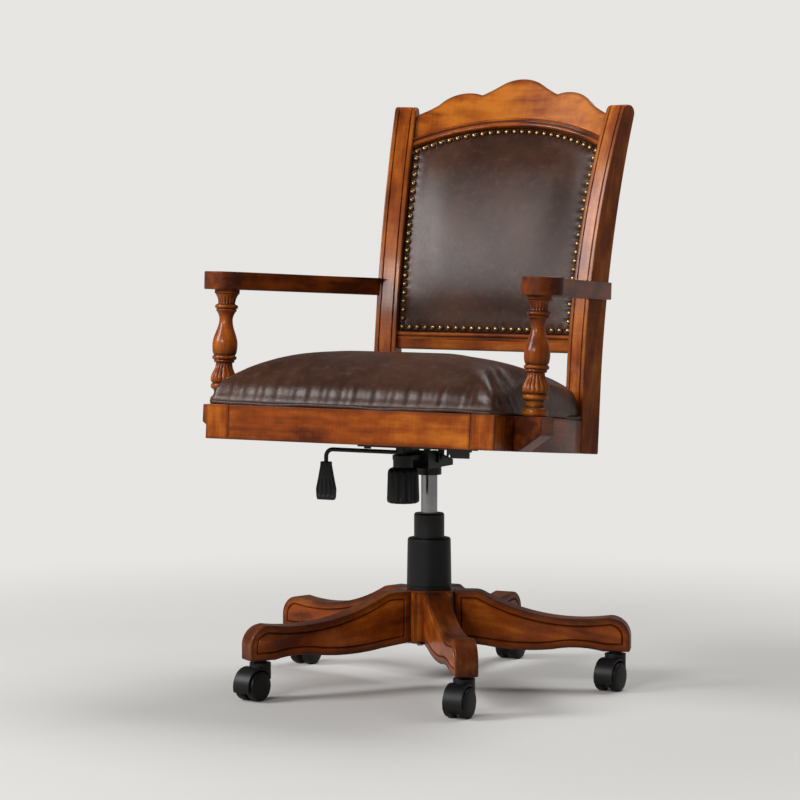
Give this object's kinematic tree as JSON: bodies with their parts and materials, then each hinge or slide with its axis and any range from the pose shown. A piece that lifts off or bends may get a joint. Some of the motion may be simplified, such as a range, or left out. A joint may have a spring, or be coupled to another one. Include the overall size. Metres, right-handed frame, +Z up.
{
  "type": "swivel armchair",
  "caption": "Swivel armchair with turned wooden arm posts, a nail-trimmed leather back and a crowned seat cushion, on a tilting gas lift and a wooden castor base.",
  "frame": {"origin": "on the floor, on the axis of the gas-lift column", "axes": "+Z up along the column, the chair faces -Y, and +X is on the sitter's left"},
  "size_m": [0.6697, 0.7091, 1.0465],
  "materials": {
    "cherry_wood": "satin",
    "plain_wood": "matte",
    "brown_leather": "satin",
    "antique_brass": "satin",
    "black_plastic": "satin",
    "black_steel": "satin",
    "bright_steel": "polished",
    "zinc_steel": "satin",
    "guide_plastic": "matte"
  },
  "bodies": {
    "base": {"base_leg_1": "cherry_wood", "base_leg_2": "cherry_wood", "base_leg_3": "cherry_wood", "base_leg_4": "cherry_wood", "base_leg_5": "cherry_wood", "base_hub": "cherry_wood", "hub_plate": "zinc_steel", "hub_screws": "zinc_steel", "castor_sockets": "zinc_steel", "column_tube": "black_steel", "column_cover": "black_plastic", "guide_bush": "guide_plastic", "thrust_bearing": "zinc_steel"},
    "castor_1": {"castor_frame_1": "black_plastic"},
    "castor_wheel_1_left": {"castor_wheel_1_left": "black_plastic"},
    "castor_wheel_1_right": {"castor_wheel_1_right": "black_plastic"},
    "castor_2": {"castor_frame_2": "black_plastic"},
    "castor_wheel_2_left": {"castor_wheel_2_left": "black_plastic"},
    "castor_wheel_2_right": {"castor_wheel_2_right": "black_plastic"},
    "castor_3": {"castor_frame_3": "black_plastic"},
    "castor_wheel_3_left": {"castor_wheel_3_left": "black_plastic"},
    "castor_wheel_3_right": {"castor_wheel_3_right": "black_plastic"},
    "castor_4": {"castor_frame_4": "black_plastic"},
    "castor_wheel_4_left": {"castor_wheel_4_left": "black_plastic"},
    "castor_wheel_4_right": {"castor_wheel_4_right": "black_plastic"},
    "castor_5": {"castor_frame_5": "black_plastic"},
    "castor_wheel_5_left": {"castor_wheel_5_left": "black_plastic"},
    "castor_wheel_5_right": {"castor_wheel_5_right": "black_plastic"},
    "piston": {"piston_rod": "bright_steel"},
    "lift": {"pressure_tube": "bright_steel", "tilt_housing": "black_steel", "tilt_pivot_pins": "zinc_steel", "tension_spring": "zinc_steel"},
    "lever": {"height_lever": "black_steel", "lever_paddle": "black_plastic"},
    "valve": {"valve_pin": "bright_steel"},
    "seat": {"seat_plate": "zinc_steel", "plate_screws": "zinc_steel", "tension_bolt": "zinc_steel", "corner_posts": "cherry_wood", "front_rail": "cherry_wood", "side_rail_left": "cherry_wood", "side_rail_right": "cherry_wood", "rear_rail": "cherry_wood", "mount_battens": "plain_wood", "seat_board": "plain_wood", "seat_cushion": "brown_leather", "arm_post_left": "cherry_wood", "arm_post_right": "cherry_wood", "arm_blocks": "cherry_wood", "arm_left": "cherry_wood", "arm_right": "cherry_wood", "back_post_left": "cherry_wood", "back_post_right": "cherry_wood", "crest_rail": "cherry_wood", "lower_back_rail": "cherry_wood", "back_pad": "brown_leather", "rear_panel": "brown_leather", "nail_heads": "antique_brass"},
    "knob": {"tension_knob": "black_plastic"}
  },
  "joints": [
    {"name": "castor_swivel_1", "type": "hinge", "parent": "base", "child": "castor_1", "pos_m": [0.30244, 0.10455, 0.0665], "axis": [0, 0, 1], "continuous": true},
    {"name": "wheel_roll_1_left", "type": "hinge", "parent": "castor_1", "child": "castor_wheel_1_left", "pos_m": [0.30176, 0.08506, 0.025], "axis": [-0.9994, 0.0349, 0], "continuous": true},
    {"name": "wheel_roll_1_right", "type": "hinge", "parent": "castor_1", "child": "castor_wheel_1_right", "pos_m": [0.30176, 0.08506, 0.025], "axis": [-0.9994, 0.0349, 0], "continuous": true},
    {"name": "castor_swivel_2", "type": "hinge", "parent": "base", "child": "castor_2", "pos_m": [-0.00598, 0.31994, 0.0665], "axis": [0, 0, 1], "continuous": true},
    {"name": "wheel_roll_2_left", "type": "hinge", "parent": "castor_2", "child": "castor_wheel_2_left", "pos_m": [-0.00598, 0.33944, 0.025], "axis": [1, 0, 0], "continuous": true},
    {"name": "wheel_roll_2_right", "type": "hinge", "parent": "castor_2", "child": "castor_wheel_2_right", "pos_m": [-0.00598, 0.33944, 0.025], "axis": [1, 0, 0], "continuous": true},
    {"name": "castor_swivel_3", "type": "hinge", "parent": "base", "child": "castor_3", "pos_m": [-0.30613, 0.09319, 0.0665], "axis": [0, 0, 1], "continuous": true},
    {"name": "wheel_roll_3_left", "type": "hinge", "parent": "castor_3", "child": "castor_wheel_3_left", "pos_m": [-0.30511, 0.11266, 0.025], "axis": [0.9986, -0.0523, 0], "continuous": true},
    {"name": "wheel_roll_3_right", "type": "hinge", "parent": "castor_3", "child": "castor_wheel_3_right", "pos_m": [-0.30511, 0.11266, 0.025], "axis": [0.9986, -0.0523, 0], "continuous": true},
    {"name": "castor_swivel_4", "type": "hinge", "parent": "base", "child": "castor_4", "pos_m": [-0.18322, -0.26235, 0.0665], "axis": [0, 0, 1], "continuous": true},
    {"name": "wheel_roll_4_left", "type": "hinge", "parent": "castor_4", "child": "castor_wheel_4_left", "pos_m": [-0.18695, -0.28149, 0.025], "axis": [-0.9816, 0.1908, 0], "continuous": true},
    {"name": "wheel_roll_4_right", "type": "hinge", "parent": "castor_4", "child": "castor_wheel_4_right", "pos_m": [-0.18695, -0.28149, 0.025], "axis": [-0.9816, 0.1908, 0], "continuous": true},
    {"name": "castor_swivel_5", "type": "hinge", "parent": "base", "child": "castor_5", "pos_m": [0.19289, -0.25533, 0.0665], "axis": [0, 0, 1], "continuous": true},
    {"name": "wheel_roll_5_left", "type": "hinge", "parent": "castor_5", "child": "castor_wheel_5_left", "pos_m": [0.19391, -0.2748, 0.025], "axis": [-0.9986, -0.0523, 0], "continuous": true},
    {"name": "wheel_roll_5_right", "type": "hinge", "parent": "castor_5", "child": "castor_wheel_5_right", "pos_m": [0.19391, -0.2748, 0.025], "axis": [-0.9986, -0.0523, 0], "continuous": true},
    {"name": "seat_swivel", "type": "hinge", "parent": "base", "child": "piston", "pos_m": [0, 0, 0.091], "axis": [0, 0, 1], "continuous": true},
    {"name": "seat_height", "type": "slide", "parent": "piston", "child": "lift", "axis": [0, 0, 1], "range_m": [-0.06, 0], "stiffness_N_per_m": 600, "springref_m": 0.55},
    {"name": "lever_lift", "type": "hinge", "parent": "lift", "child": "lever", "pos_m": [-0.0285, -0.042, 0.4025], "axis": [0, 1, 0], "range_deg": [0, 5], "stiffness_Nm_per_rad": 2, "springref_deg": -5.73},
    {"name": "valve_press", "type": "slide", "parent": "lift", "child": "valve", "axis": [0, 0, 1], "range_m": [-0.0025, 0]},
    {"name": "seat_tilt", "type": "hinge", "parent": "lift", "child": "seat", "pos_m": [0, -0.02, 0.396], "axis": [-1, 0, 0], "range_deg": [0, 10], "stiffness_Nm_per_rad": 150, "springref_deg": -14.32, "deforming": ["tension_spring"]},
    {"name": "tension_turn", "type": "hinge", "parent": "seat", "child": "knob", "pos_m": [0, -0.097, 0.323], "axis": [0, 0, 1], "range_deg": [-360, 360]}
  ],
  "couplings": [
    {"joint": "valve_press", "follows": "lever_lift", "m_per_rad": -0.0285}
  ]
}
